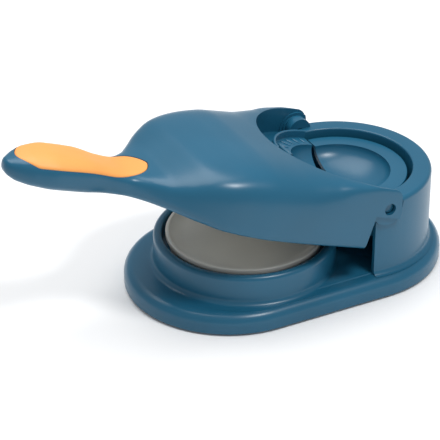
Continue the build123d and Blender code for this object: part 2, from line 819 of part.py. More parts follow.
lever_pieces = {
    "lever_shell": lever_shell,
    "handle_cover": handle_cover,
    "handle_cover_screws": handle_cover_screws,
    "grip_inlay": grip_inlay,
    "upper_press_plate": upper_press_plate,
    "upper_plate_screws": upper_plate_screws,
    "front_mould_leaf": front_mould_leaf,
    "front_leaf_screws": front_leaf_screws,
}
for piece in lever_pieces.values():
    piece.part = piece.part.rotate(hinge_axis, rest_swing)

os.makedirs("parts", exist_ok=True)
for name, piece in {**base_pieces, **lever_pieces}.items():
    piece.part.label = name
    export_step(piece.part, f"parts/{name}.step")
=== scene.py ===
from math import asin, cos, degrees, pi, radians, sin, sqrt, tan

import bmesh
import bpy
import numpy as np
from mathutils import Matrix, Vector


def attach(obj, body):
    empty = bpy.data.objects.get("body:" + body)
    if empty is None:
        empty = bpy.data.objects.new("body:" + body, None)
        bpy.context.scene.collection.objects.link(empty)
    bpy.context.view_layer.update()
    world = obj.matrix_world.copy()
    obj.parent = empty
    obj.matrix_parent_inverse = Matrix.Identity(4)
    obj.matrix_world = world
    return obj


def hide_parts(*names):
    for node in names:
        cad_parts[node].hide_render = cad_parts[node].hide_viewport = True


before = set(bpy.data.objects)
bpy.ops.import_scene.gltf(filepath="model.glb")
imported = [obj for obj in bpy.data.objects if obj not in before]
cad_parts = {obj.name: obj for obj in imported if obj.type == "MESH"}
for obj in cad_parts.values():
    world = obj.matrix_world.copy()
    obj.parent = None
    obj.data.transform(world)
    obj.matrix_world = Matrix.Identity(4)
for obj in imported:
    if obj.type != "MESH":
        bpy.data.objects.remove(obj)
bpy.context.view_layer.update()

# ---- Foot, cup and housing ---------------------------------------------------------------------
# The base is one injection-moulded shell of glossy blue ABS. A rounded stadium foot carries a round
# cup at the front and, behind it, a D-shaped housing that is open towards the cup. The mould rounds
# its edges, so the profiles below carry a radius at each corner that shows.
# Lengths are millimetres, and MM turns them into Blender's metres. `beyond` is further out than any
# part of the press and `through` is past a wall, for the shapes that cut a piece or keep a side of it.

MM = 0.001
beyond = 200.0
through = 3.0
same_point = 0.0001 * MM
weld_distance = 0.0015 * MM
shortest_edge = 0.0005 * MM
crease_angle = 32.0
soft_crease_angle = 50.0
quarter_turn = range(0, 91, 15)

# Foot and deck
foot_end_radius = 55.0
foot_half_span = 33.0
foot_underside = 1.0
foot_top = 11.2
foot_edge = 0.6
foot_shoulder = 5.4
foot_flat_inset = 9.0
foot_crown_inset = 13.0
foot_crown_rise = 0.35
cover_seat_depth = 1.9
cover_seat_inset = 2.4
cover_seat_mouth = 2.3
sweep_foot = foot_top + 0.3
sweep_radius = 3.0
weld_line = foot_top - 3
deck_top = 12.0
deck_end_radius = 46.5
deck_edge = 0.7

# Cup, with the groove round the lower press plate
cup_x = -23.5
cup_radius = 48.0
cup_top = 27.5
cup_floor = 20.0
cup_flat_x = 22.0
cup_inner_edge = 1.4
cup_outer_edge = 2.6
cup_sweep_reach = 6.0
cup_limit_inset = 3.6
plate_radius = 41.5
groove = 2.0
groove_edge = 0.8

# Housing and well
house_x = 33.0
house_front_x = 26.5
house_radius = 48.5
house_top = 53.0
house_edge = 2.2
house_inner_edge = 0.8
house_sweep_reach = 2.8
well_radius = 38.5
well_floor = 32.0
well_edge = 1.0
well_floor_edge = 1.2
well_outer_edge = 2.0
shell_wall = 2.3

# Hinge line, lugs and the notches beside them
hinge_x = 33.0
hinge_z = 50.5
lug_radius = 6.6
lug_rise = 1.6
lug_depth = 11.0
lug_front = 0.1
lug_inner = 42.2
lug_outer = 46.7
notch_radius = 9.9
notch_gap = 0.05
notch_room = 14.0
notch_height = 20.0

to_hinge = Matrix.Translation((hinge_x * MM, 0, hinge_z * MM))


def rounded(corners, arc_steps=6):
    """A closed outline through (across, up, radius) corners, each one an arc of its own radius."""
    outline = []
    count = len(corners)
    for i, (x, y, radius) in enumerate(corners):
        here = np.array((x, y), float)
        before = np.array(corners[i - 1][:2], float) - here
        after = np.array(corners[(i + 1) % count][:2], float) - here
        if radius <= 0:
            outline.append(tuple(here))
            continue
        before /= np.linalg.norm(before)
        after /= np.linalg.norm(after)
        half = np.arccos(np.clip(before @ after, -1, 1)) / 2
        middle = before + after
        middle /= np.linalg.norm(middle)
        centre = here + middle * radius / sin(half)
        first = here + before * radius / tan(half) - centre
        last = here + after * radius / tan(half) - centre
        turn = np.arctan2(first[0] * last[1] - first[1] * last[0], first @ last)
        for step in range(arc_steps + 1):
            angle = turn * step / arc_steps
            c, s = cos(angle), sin(angle)
            across = centre[0] + c * first[0] - s * first[1]
            outline.append((across, centre[1] + s * first[0] + c * first[1]))
    return outline


def solid(name, vertices, faces):
    """A closed mesh from millimetre vertices, merged where they meet and turned outwards."""
    mesh = bpy.data.meshes.new(name)
    mesh.from_pydata([tuple(MM * c for c in v) for v in vertices], [], faces)
    bm = bmesh.new()
    bm.from_mesh(mesh)
    bmesh.ops.remove_doubles(bm, verts=bm.verts, dist=same_point)
    bmesh.ops.dissolve_degenerate(bm, edges=bm.edges, dist=same_point)
    bmesh.ops.recalc_face_normals(bm, faces=bm.faces)
    bm.to_mesh(mesh)
    bm.free()
    piece = bpy.data.objects.new(name, mesh)
    bpy.context.scene.collection.objects.link(piece)
    return piece


def skinned(name, loops):
    """A closed skin over loops of equal length, with a flat cap on the first and the last."""
    width = len(loops[0])
    vertices = [point for loop in loops for point in loop]
    faces = [tuple(range(width)), tuple((len(loops) - 1) * width + j for j in range(width))]
    for i in range(len(loops) - 1):
        a, b = i * width, (i + 1) * width
        faces += [(a + j, a + (j + 1) % width, b + (j + 1) % width, b + j) for j in range(width)]
    return solid(name, vertices, faces)


def turned(name, outline, centre_x, start=0.0, sweep=360.0, steps=192):
    """A closed outline of (radius, height) turned about the upright line at centre_x."""
    whole = sweep >= 360
    rows = steps if whole else steps + 1
    width = len(outline)
    vertices = []
    for i in range(rows):
        angle = radians(start + sweep * i / steps)
        vertices += [(centre_x + r * cos(angle), r * sin(angle), z) for r, z in outline]
    faces = []
    for i in range(steps):
        a, b = i * width, ((i + 1) % rows) * width
        faces += [(a + j, a + (j + 1) % width, b + (j + 1) % width, b + j) for j in range(width)]
    if not whole:
        faces.append(tuple(range(width)))
        faces.append(tuple((rows - 1) * width + j for j in range(width)))
    return solid(name, vertices, faces)


def stadium_loop(half_span, radius, middle_x=0.0, steps=72):
    """Points round a stadium of that end radius."""
    points = []
    for side in (1, -1):
        for i in range(steps + 1):
            angle = radians(-90 + 180 * i / steps)
            across = middle_x + side * (half_span + radius * cos(angle))
            points.append((across, side * radius * sin(angle)))
    return points


def stadium_solid(name, half_span, radius, outline, middle_x=0.0):
    """A stadium whose edge follows an outline of (inset, height), from its underside to its top."""
    loops = [
        [(x, y, z) for x, y in stadium_loop(half_span, radius - inset, middle_x)] for inset, z in outline
    ]
    return skinned(name, loops)


def extruded(name, outline, near_y, far_y):
    """A closed outline of (x, z) pushed through from near_y to far_y."""
    return skinned(name, [[(x, y, z) for x, z in outline] for y in (near_y, far_y)])


def raised(name, outline, bottom, top):
    """A closed outline of (x, y) pushed up from bottom to top."""
    return skinned(name, [[(x, y, z) for x, y in outline] for z in (bottom, top)])


def circle(centre_x, centre_y, radius, steps):
    """Points round a circle."""
    return [
        (centre_x + radius * cos(2 * pi * i / steps), centre_y + radius * sin(2 * pi * i / steps))
        for i in range(steps)
    ]


def arc(centre_x, centre_z, radius, first, last, step=5):
    """Points of an arc from `first` to `last`, in degrees."""
    return [
        (centre_x + radius * cos(radians(a)), centre_z + radius * sin(radians(a)))
        for a in range(first, last + 1, step)
    ]


def box_outline(low_x, low_y, high_x, high_y):
    """The four corners of a rectangle."""
    return [(low_x, low_y), (high_x, low_y), (high_x, high_y), (low_x, high_y)]


def slab(name, low_x, high_x, low_z=-beyond, high_z=beyond):
    """Everything between two distances along the press and between two heights."""
    return raised(name, box_outline(low_x, -beyond, high_x, beyond), low_z, high_z)


def combine(piece, other, operation):
    """Joins or cuts closed pieces, or keeps their common part. The second one is used up."""
    modifier = piece.modifiers.new("combine", "BOOLEAN")
    modifier.operation = operation
    modifier.solver = "EXACT"
    modifier.object = other
    depsgraph = bpy.context.evaluated_depsgraph_get()
    mesh = bpy.data.meshes.new_from_object(piece.evaluated_get(depsgraph))
    piece.modifiers.clear()
    piece.data = mesh
    bpy.data.objects.remove(other)
    welded = bmesh.new()
    welded.from_mesh(mesh)
    bmesh.ops.remove_doubles(welded, verts=welded.verts, dist=weld_distance)
    bmesh.ops.dissolve_degenerate(welded, dist=shortest_edge, edges=welded.edges)
    welded.to_mesh(mesh)
    welded.free()
    return piece


def smooth(piece, angle=crease_angle):
    """Smooth shading with crisp edges where faces meet more sharply than the angle."""
    piece.data.shade_smooth()
    piece.data.set_sharp_from_angle(angle=radians(angle))
    return piece


def dress(piece, material):
    """Gives a piece its one material."""
    piece.data.materials.clear()
    piece.data.materials.append(material)
    return piece


class Look:
    """A material as it is built: its nodes, its shader and the piece's own coordinates."""

    def __init__(self, name):
        self.material = bpy.data.materials.new(name)
        self.material.use_nodes = True
        self.nodes, self.links = self.material.node_tree.nodes, self.material.node_tree.links
        self.shader = self.nodes["Principled BSDF"]
        self.place = self.nodes.new("ShaderNodeTexCoord").outputs["Object"]

    def noise(self, scale, detail=2.0):
        """Cloudy noise over the piece."""
        texture = self.nodes.new("ShaderNodeTexNoise")
        texture.inputs["Scale"].default_value = scale
        texture.inputs["Detail"].default_value = detail
        self.links.new(self.place, texture.inputs["Vector"])
        return texture.outputs["Fac"]

    def pebble(self, scale):
        """Cell pattern over the piece."""
        texture = self.nodes.new("ShaderNodeTexVoronoi")
        texture.inputs["Scale"].default_value = scale
        self.links.new(self.place, texture.inputs["Vector"])
        return texture.outputs["Distance"]

    def tint(self, clouds, positions, tints):
        """Base colour that runs between two tints."""
        ramp = self.nodes.new("ShaderNodeValToRGB")
        for element, position, tint in zip(ramp.color_ramp.elements, positions, tints):
            element.position = position
            element.color = tuple(tint) + (1,)
        self.links.new(clouds, ramp.inputs["Fac"])
        self.links.new(ramp.outputs["Color"], self.shader.inputs["Base Color"])

    def gloss(self, pattern, low, high):
        """Roughness that runs between two values."""
        gloss = self.nodes.new("ShaderNodeMapRange")
        gloss.inputs["To Min"].default_value = low
        gloss.inputs["To Max"].default_value = high
        self.links.new(pattern, gloss.inputs["Value"])
        self.links.new(gloss.outputs["Result"], self.shader.inputs["Roughness"])

    def relief(self, pattern, strength):
        """Fine bump, at most 0.2 mm deep."""
        bump = self.nodes.new("ShaderNodeBump")
        bump.inputs["Strength"].default_value = strength
        bump.inputs["Distance"].default_value = 0.0002
        self.links.new(pattern, bump.inputs["Height"])
        self.links.new(bump.outputs["Normal"], self.shader.inputs["Normal"])


def moulded_plastic(name, colour, roughness, grain=0.06, coat=0.1):
    """Moulded plastic: even colour with faint flow clouds, a fine skin and a soft clear gloss."""
    look = Look(name)
    tints = tuple(0.94 * c for c in colour), tuple(min(1, 1.05 * c) for c in colour)
    look.tint(look.noise(18), (0.35, 0.65), tints)
    skin = look.noise(900, 3)
    look.gloss(skin, roughness - 0.04, roughness + 0.06)
    look.relief(skin, grain)
    look.shader.inputs["Coat Weight"].default_value = coat
    look.shader.inputs["Coat Roughness"].default_value = 0.25
    look.shader.inputs["IOR"].default_value = 1.42
    return look.material


def turned_steel(name, colour):
    """Bright steel with an uneven polish."""
    look = Look(name)
    look.gloss(look.noise(1500), 0.25, 0.5)
    look.shader.inputs["Metallic"].default_value = 1.0
    look.shader.inputs["Base Color"].default_value = colour + (1,)
    return look.material


def soft_grip(name, colour):
    """Soft-touch rubber: matte, with a fine even pebble and faint clouds of a warmer tint."""
    look = Look(name)
    look.relief(look.pebble(1100), 0.25)
    warmer = (colour[0], min(1, colour[1] * 1.08), colour[2] * 1.15)
    look.tint(look.noise(25), (0.3, 0.7), (colour, warmer))
    look.shader.inputs["Roughness"].default_value = 0.5
    return look.material


blue_plastic = moulded_plastic("blue_plastic", (0.012, 0.108, 0.192), 0.3)
white_plastic = moulded_plastic("white_plastic", (0.66, 0.65, 0.6), 0.32, 0.04, 0.3)
pad_rubber = moulded_plastic("pad_rubber", (0.02, 0.02, 0.022), 0.75, 0.3, 0.0)
orange_grip = soft_grip("orange_grip", (0.93, 0.36, 0.085))
screw_steel = turned_steel("screw_steel", (0.55, 0.56, 0.58))

base = stadium_solid(
    "base_shell",
    foot_half_span,
    foot_end_radius,
    [(cover_seat_inset, foot_underside + cover_seat_depth), (cover_seat_mouth, foot_underside)]
    + rounded(
        [
            (0, foot_underside, foot_edge),
            (0, foot_top, foot_shoulder),
            (foot_flat_inset, sweep_foot, 0),
            (foot_flat_inset, foot_underside, 0),
        ],
        12,
    )[:-1]
    + [(foot_crown_inset, foot_top + foot_crown_rise)],
)
deck = stadium_solid(
    "deck",
    (house_x - cup_x) / 2,
    deck_end_radius,
    [(0, weld_line)]
    + [
        (deck_edge * (1 - cos(radians(a))), deck_top - deck_edge + deck_edge * sin(radians(a)))
        for a in quarter_turn
    ],
    (house_x + cup_x) / 2,
)
combine(base, deck, "UNION")

# Cup: a sweep out of the deck, an upright wall, a rounded rim and the groove round the plate
cup = turned(
    "cup",
    rounded(
        [
            (0, cup_floor, 0),
            (plate_radius + groove, cup_floor, groove_edge),
            (plate_radius + groove, cup_top, cup_inner_edge),
            (cup_radius, cup_top, cup_outer_edge),
            (cup_radius, sweep_foot, sweep_radius),
            (cup_radius + cup_sweep_reach, sweep_foot, 0),
            (cup_radius + cup_sweep_reach, weld_line, 0),
            (0, weld_line, 0),
        ],
        10,
    ),
    cup_x,
)
combine(cup, slab("cup_back", cup_flat_x, beyond, deck_top), "DIFFERENCE")
cup_limit = stadium_solid(
    "limit", foot_half_span, foot_end_radius - cup_limit_inset, [(0, 0), (0, beyond)]
)
combine(cup, cup_limit, "INTERSECT")
combine(base, cup, "UNION")

# Housing: outer wall, ring top, well wall and well floor in one turned section, open towards the cup
housing = turned(
    "housing",
    rounded(
        [
            (0, well_floor, 0),
            (well_radius, well_floor, well_floor_edge),
            (well_radius, house_top, well_edge),
            (house_radius, house_top, house_edge),
            (house_radius, sweep_foot, sweep_radius),
            (house_radius + house_sweep_reach, sweep_foot, 0),
            (house_radius + house_sweep_reach, weld_line, 0),
            (house_radius - shell_wall, weld_line, 0),
            (house_radius - shell_wall, house_top - shell_wall, house_inner_edge),
            (well_radius + shell_wall, house_top - shell_wall, house_inner_edge),
            (well_radius + shell_wall, well_floor - shell_wall, well_outer_edge),
            (0, well_floor - shell_wall, 0),
        ],
        8,
    ),
    house_x,
)
combine(housing, slab("behind_front", house_front_x, beyond), "INTERSECT")

# Lugs for the hinge pins stand on the ring, rounded about the hinge line, with notches for the ears
lug_outline = (
    [(hinge_x + lug_radius, hinge_z - lug_depth), (hinge_x + lug_radius, hinge_z + lug_rise)]
    + arc(hinge_x, hinge_z + lug_rise, lug_radius, 5, 175)
    + [(house_front_x - lug_front, hinge_z + lug_rise)]
    + [(house_front_x - lug_front, hinge_z - lug_depth)]
)
notch_outline = arc(hinge_x, hinge_z, notch_radius, 180, 360) + [
    (hinge_x + notch_radius, hinge_z + notch_height),
    (hinge_x - notch_radius, hinge_z + notch_height),
]
for side in (-1, 1):
    lug = extruded("lug", lug_outline, side * lug_inner, side * lug_outer)
    notch_start, notch_end = side * (lug_outer + notch_gap), side * (lug_outer + notch_room)
    combine(housing, extruded("notch", notch_outline, notch_start, notch_end), "DIFFERENCE")
    combine(housing, lug, "UNION")
combine(base, housing, "UNION")
smooth(dress(base, blue_plastic))
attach(base, "base")
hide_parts("base_shell")

# ---- Underside: cover, screws and pads ---------------------------------------------------------
# A flat cover of the same plastic closes the underside. Steel screws hold it, and five rubber pads
# keep the press from sliding.

pad_radius = 7.0
pad_height = 2.2
pad_edge = 0.6
pad_places = [(-62, 30), (-62, -30), (62, 30), (62, -30), (0, 0)]

for number, (x, y) in enumerate(pad_places, start=1):
    pad = turned(
        f"foot_pad_{number}",
        rounded(
            [(0, 0, 0), (pad_radius, 0, pad_edge), (pad_radius, pad_height, 0), (0, pad_height, 0)]
        ),
        0,
        steps=48,
    )
    pad.data.transform(Matrix.Translation((x * MM, y * MM, 0)))
    smooth(dress(pad, pad_rubber))
    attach(pad, "base")
    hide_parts(f"foot_pad_{number}")

# The covers and the screws keep their CAD shapes and are only given their materials
for name in ("bottom_cover", "handle_cover"):
    dress(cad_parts[name], blue_plastic)
for name in (
    "bottom_cover_screws",
    "lower_plate_screws",
    "rear_leaf_screws",
    "upper_plate_screws",
    "front_leaf_screws",
    "handle_cover_screws",
):
    dress(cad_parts[name], screw_steel)

# ---- Lower press plate -------------------------------------------------------------------------
# White moulded dish that the dough is pressed on. Its thin rounded rim stands just above the cup.

plate_top = 28.5
plate_depth = 4.5
plate_flat_radius = 31.0
plate_rim = 1.6
plate_rim_height = 3.0
plate_rim_edges = (0.5, 0.7, 0.5)
plate_foot_inset = 2.0
plate_foot_slope = 0.4
dish_power = 2.6


def dish_line(steps=20):
    """The dished face from the flat middle out to the rim."""
    run = plate_radius - plate_rim - plate_flat_radius
    line = []
    for i in range(1, steps):
        t = i / steps
        line.append((plate_flat_radius + run * t, plate_top - plate_depth + plate_depth * t**dish_power))
    return line


lower_plate = turned(
    "lower_press_plate",
    [(0, plate_top - plate_depth), (plate_flat_radius, plate_top - plate_depth)]
    + dish_line()
    + rounded(
        [
            (plate_radius - plate_rim, plate_top, plate_rim_edges[0]),
            (plate_radius, plate_top, plate_rim_edges[1]),
            (plate_radius, plate_top - plate_rim_height, plate_rim_edges[2]),
            (plate_radius - plate_foot_inset, plate_top - plate_rim_height - plate_foot_slope, 0),
            (plate_radius - plate_foot_inset, cup_floor, 0),
            (0, cup_floor, 0),
        ]
    ),
    cup_x,
    steps=240,
)
smooth(dress(lower_plate, white_plastic), soft_crease_angle)
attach(lower_plate, "base")
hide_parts("lower_press_plate")

# ---- Rear mould leaf ---------------------------------------------------------------------------
# Fixed half of the folding mould: a half-round bowl with a flat crimping rim on a skirt that stands
# on the floor of the well.

rear_leaf_radius = 35.8
rear_leaf_top = 49.4
leaf_bowl_radius = 27.0
leaf_bowl_depth = 11.4
leaf_wall = 1.8
leaf_edge = 0.5
leaf_inner_edge = 0.4
leaf_hinge_gap = 1.0
tab_slot_inner = 35.4
tab_slot_outer = 40.0
tab_slot_half_width = 6.2
tab_slot_depth = 6.7
tab_slot_height = 9.0


def bowl_line(radius, depth, top, steps=24):
    """Elliptical bowl from its lowest point out to its rim."""
    return [
        (radius * sin(radians(90 * i / steps)), top - depth * cos(radians(90 * i / steps)))
        for i in range(steps + 1)
    ]


def half_leaf(name, outer_radius, top, skirt_bottom, keep_low_x, keep_high_x):
    """One leaf turned whole about the hinge's upright line, then cut off at the hinge side."""
    outline = bowl_line(leaf_bowl_radius, leaf_bowl_depth, top)[:-1]
    outline += rounded(
        [
            (leaf_bowl_radius, top, 0),
            (outer_radius, top, leaf_edge),
            (outer_radius, skirt_bottom, 0),
            (outer_radius - leaf_wall, skirt_bottom, 0),
            (outer_radius - leaf_wall, top - leaf_wall, leaf_inner_edge),
        ]
    )
    outline += bowl_line(leaf_bowl_radius + leaf_wall, leaf_bowl_depth, top - leaf_wall)[::-1]
    leaf = turned(name, outline, house_x, steps=240)
    return combine(leaf, slab("room", keep_low_x, keep_high_x), "INTERSECT")


rear_leaf = half_leaf(
    "rear_mould_leaf",
    rear_leaf_radius,
    rear_leaf_top,
    well_floor,
    hinge_x + leaf_hinge_gap,
    beyond,
)
tab_slot = raised(
    "tab_slot",
    box_outline(
        house_x + tab_slot_inner, -tab_slot_half_width, house_x + tab_slot_outer, tab_slot_half_width
    ),
    hinge_z - tab_slot_depth,
    hinge_z + tab_slot_height,
)
combine(rear_leaf, tab_slot, "DIFFERENCE")
smooth(dress(rear_leaf, blue_plastic))
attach(rear_leaf, "base")
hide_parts("rear_mould_leaf")

# ---- Hinge pins --------------------------------------------------------------------------------
# Two short plastic pins, pressed into the lugs from outside. Their rounded ends stay just inside the
# ears of the lever.

pin_radius = 3.0
pin_end = 49.0
pin_edge = 0.7
pin_outline = rounded(
    [(0, lug_inner, 0), (pin_radius, lug_inner, 0), (pin_radius, pin_end, pin_edge), (0, pin_end, 0)]
)


def lay_outwards(piece, side):
    """Lays a piece that was turned upright onto the hinge line, pointing out to one side."""
    piece.data.transform(to_hinge @ Matrix.Rotation(-side * pi / 2, 4, "X"))
    return piece


for side, name in ((-1, "pivot_pin_near"), (1, "pivot_pin_far")):
    pin = lay_outwards(turned(name, pin_outline, 0, steps=64), side)
    smooth(dress(pin, blue_plastic))
    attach(pin, "base")
    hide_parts(name)

# ---- Lever -------------------------------------------------------------------------------------
# One large blue moulding, like an upturned pan with a handle: a round opening for the mould leaf, two
# ears on the hinge pins and a hollow handle. It is drawn shut and then swung up to its rest position.

rest_swing = 20.0
lever_wall = 2.3
lever_rear = -8.0
lever_tip = 193.8
lever_rows = 150
tip_start = 180.0
tip_rows = 25
cavity_rear = -11.0
cavity_tip = 186.0
cavity_rows = 90
cavity_drop = 2.0
crown_samples = 400
bend_weight = 9
floor_strips = 6
opening_radius = 49.6
opening_edge = 0.8
channel_floor_height = -3.5
channel_wall = 1.8
bowl_hole_radius = 29.6
ledge_inner = 28.6
ledge_outer = 37.9
ledge_bottom = -6.5
ledge_top = -2.0
hinge_clearance = 8.6
lug_room_gap = 0.1
skirt_rear = 6.9
skirt_rear_top = 4.75
arm_end_reach = 7.2
arm_end_height = 8.8
arm_end_rise = 0.4
arm_end_front = -20.0
arm_corner = 6.0
ear_radius = 9.5
ear_inner = 46.9
ear_outer = 49.8
ear_disc = 1.6
ear_boss_radius = 8.0
pin_hole_radius = 3.25

# Distance along, half width, half width of the flat underside, underside, widest line, crest, squareness
lever_stations = np.array(
    [
        (-8, 50.9, 49.2, -23.5, -20.4, 12.2, 28.0),
        (8, 51.2, 49.1, -23.5, -20.4, 12.0, 26.0),
        (20, 51.4, 49.4, -23.5, -20.6, 11.3, 17.0),
        (34, 51.4, 49.8, -23.5, -21.0, 11.0, 7.0),
        (50, 51.3, 50.0, -23.5, -21.2, 10.5, 4.8),
        (66, 50.4, 49.2, -23.5, -21.6, 10.5, 4.6),
        (78, 48.4, 46.8, -23.5, -21.8, 8.9, 4.8),
        (89, 45.9, 42.6, -23.5, -21.0, 6.1, 4.9),
        (99, 41.1, 34.2, -23.5, -18.2, 2.6, 4.7),
        (107, 35.0, 25.0, -23.6, -18.0, -3.2, 4.6),
        (114, 27.1, 16.7, -23.8, -18.0, -8.0, 4.4),
        (122, 18.6, 11.0, -24.0, -18.0, -10.2, 3.8),
        (131, 14.1, 8.0, -24.0, -18.0, -11.4, 3.3),
        (141, 13.5, 7.3, -24.0, -18.0, -10.3, 3.25),
        (155, 15.5, 8.5, -24.0, -18.0, -7.9, 3.2),
        (170, 16.1, 8.6, -24.0, -18.0, -7.4, 3.0),
        (181, 13.2, 6.4, -24.0, -18.0, -9.2, 3.0),
        (187, 9.6, 3.9, -23.6, -17.9, -11.6, 3.0),
        (191.5, 5.5, 1.8, -22.0, -17.5, -13.9, 2.6),
        (193.2, 3.4, 1.2, -20.2, -17.4, -14.8, 2.4),
        (193.8, 1.6, 0.7, -18.8, -17.3, -15.9, 2.2),
    ]
)


def station_slope(slopes, i):
    """Slope of the curve at station i: zero at a turning point, so that it never overshoots."""
    if i == 0 or i == len(slopes):
        return slopes[min(i, len(slopes) - 1)]
    a, b = slopes[i - 1], slopes[i]
    return 0.0 if a * b <= 0 else 2 * a * b / (a + b)


def station_at(along):
    """The section's measures at a distance along the lever, between the stations."""
    u = lever_stations[:, 0]
    k = int(np.clip(np.searchsorted(u, along) - 1, 0, len(u) - 2))
    h = u[k + 1] - u[k]
    t = (along - u[k]) / h
    values = []
    for column in lever_stations.T[1:]:
        slopes = np.diff(column) / np.diff(u)
        values.append(
            (2 * t**3 - 3 * t**2 + 1) * column[k]
            + (t**3 - 2 * t**2 + t) * h * station_slope(slopes, k)
            + (3 * t**2 - 2 * t**3) * column[k + 1]
            + (t**3 - t**2) * h * station_slope(slopes, k + 1)
        )
    return values


def lever_section(along, inset, count):
    """`count` points over the crown from the widest line, then the rounded foot, as (across, height)."""
    half_width, half_flat, underside, widest, crest, squareness = station_at(along)
    side, top = half_width - inset, crest - inset
    flat = half_flat - 0.6 * inset
    bottom = underside - (cavity_drop if inset > 0 else 0.0)
    a = np.linspace(0, pi / 2, crown_samples)
    v = side * np.cos(a).clip(0) ** (2 / squareness)
    h = widest + (top - widest) * np.sin(a).clip(0) ** (2 / squareness)
    step = np.hypot(np.diff(v), np.diff(h))
    heading = np.unwrap(np.arctan2(np.diff(h), np.diff(v)))
    bend = np.abs(np.diff(heading, prepend=heading[0]))
    weight = np.concatenate(([0], np.cumsum(step + bend_weight * bend)))
    even = np.linspace(0, weight[-1], count)
    crown = list(zip(np.interp(even, weight, v), np.interp(even, weight, h)))
    foot = [
        (flat + (side - flat) * sin(radians(b)), widest - (widest - bottom) * cos(radians(b)))
        for b in range(0, 90, 15)
    ]
    right = foot + crown
    left = [(-v, h) for v, h in reversed(right[:-1])]
    middle = [(-flat * (1 - 2 * i / floor_strips), bottom) for i in range(1, floor_strips)]
    return right + left + middle


def lever_solid(name, inset, first, last, steps, count=40):
    """The lever's sculpted form between two distances along it, drawn in by `inset`."""
    stops = np.linspace(first, last, steps + 1)
    if last == lever_tip:
        body = np.linspace(first, tip_start, steps + 1 - tip_rows)
        stops = np.concatenate((body, np.linspace(tip_start, last, tip_rows + 1)[1:]))
    rows = [
        [(hinge_x - u, v, hinge_z + h) for v, h in lever_section(u, inset, count)] for u in stops
    ]
    return skinned(name, rows)


def swing_up(piece):
    """Turns a piece drawn with the lever shut up to the lever's rest position."""
    piece.data.transform(to_hinge @ Matrix.Rotation(radians(rest_swing), 4, "Y") @ to_hinge.inverted())
    return piece


def arm_end_cut():
    """What lies behind the arms, drawn upright at the lever's rest position and turned down to shut."""
    run = arm_end_reach - arm_end_front
    front_height = arm_end_height + run * tan(radians(rest_swing)) + arm_end_rise
    outline = rounded(
        [
            (arm_end_reach, -beyond, 0),
            (arm_end_reach, arm_end_height, arm_corner),
            (arm_end_front, front_height, 0),
            (arm_end_front, beyond, 0),
            (beyond, beyond, 0),
            (beyond, -beyond, 0),
        ],
        14,
    )
    cut = extruded("arm_end", outline, -beyond, beyond)
    cut.data.transform(to_hinge @ Matrix.Rotation(-radians(rest_swing), 4, "Y"))
    return cut


lever = lever_solid("lever_shell", 0, lever_rear, lever_tip, lever_rows)
combine(lever, arm_end_cut(), "DIFFERENCE")
skirt_end = slab("skirt_end", hinge_x - skirt_rear, beyond, -beyond, hinge_z - skirt_rear_top)
combine(lever, skirt_end, "DIFFERENCE")

# The hollow under the crown leaves the channel standing, a floor and wall round the opening
cavity = lever_solid("cavity", lever_wall, cavity_rear, cavity_tip, cavity_rows)
channel_floor = hinge_z + channel_floor_height
opening_tube = turned(
    "opening_tube",
    [
        (0, channel_floor - channel_wall),
        (opening_radius + channel_wall, channel_floor - channel_wall),
        (opening_radius + channel_wall, beyond),
        (0, beyond),
    ],
    hinge_x,
)
combine(cavity, opening_tube, "DIFFERENCE")
combine(lever, cavity, "DIFFERENCE")
opening = turned(
    "opening",
    [(0, channel_floor), (opening_radius - opening_edge, channel_floor)]
    + [
        (
            opening_radius - opening_edge * (1 - sin(radians(a))),
            channel_floor + opening_edge * (1 - cos(radians(a))),
        )
        for a in quarter_turn[1:]
    ]
    + [(opening_radius, beyond), (0, beyond)],
    hinge_x,
)
combine(lever, opening, "DIFFERENCE")
bowl_hole = turned("bowl_hole", box_outline(0, -beyond, bowl_hole_radius, beyond), hinge_x)
combine(lever, bowl_hole, "DIFFERENCE")

# Room for the lugs between the ears, less the ledge that carries the front mould leaf
lug_room_side = ear_inner - lug_room_gap
lug_room = raised(
    "lug_room",
    box_outline(hinge_x - hinge_clearance, -lug_room_side, beyond, lug_room_side),
    -beyond,
    beyond,
)
ledge = turned(
    "ledge",
    box_outline(ledge_inner, hinge_z + ledge_bottom, ledge_outer, hinge_z + ledge_top),
    hinge_x,
)
combine(ledge, slab("ledge_end", hinge_x - leaf_hinge_gap, beyond), "DIFFERENCE")
combine(lug_room, ledge, "DIFFERENCE")
combine(lever, lug_room, "DIFFERENCE")

# Ears: a boss that meets the arm's wall, a larger disc outside it, and the hole for the pin
ear_outline = [
    (0, ear_inner),
    (ear_boss_radius, ear_inner),
    (ear_boss_radius, ear_outer - ear_disc),
    (ear_radius, ear_outer - ear_disc),
    (ear_radius, ear_outer),
    (0, ear_outer),
]
for side in (-1, 1):
    ear = lay_outwards(turned("ear", ear_outline, 0, steps=96), side)
    combine(ear, arm_end_cut(), "DIFFERENCE")
    combine(lever, ear, "UNION")
    pin_hole = extruded(
        "pin_hole",
        circle(hinge_x, hinge_z, pin_hole_radius, 48),
        side * (ear_inner - through),
        side * (ear_outer + through),
    )
    combine(lever, pin_hole, "DIFFERENCE")

# ---- Grip inlay --------------------------------------------------------------------------------
# Orange soft-touch rubber in a bed in the top of the handle. It follows the handle's own curve,
# flush with it, and its edge rounds down into a hairline groove.

inlay_first = 116.2
inlay_last = 188.4
inlay_share = 0.915
inlay_depth = 1.3
inlay_edge = 0.8
bed_gap = 0.22
bed_depth = 1.4
bed_height = 4.0
neck_nose = 26.0
neck_bluntness = 0.75
tip_nose = 9.0
tip_bluntness = 0.46
nose_power = 2.2


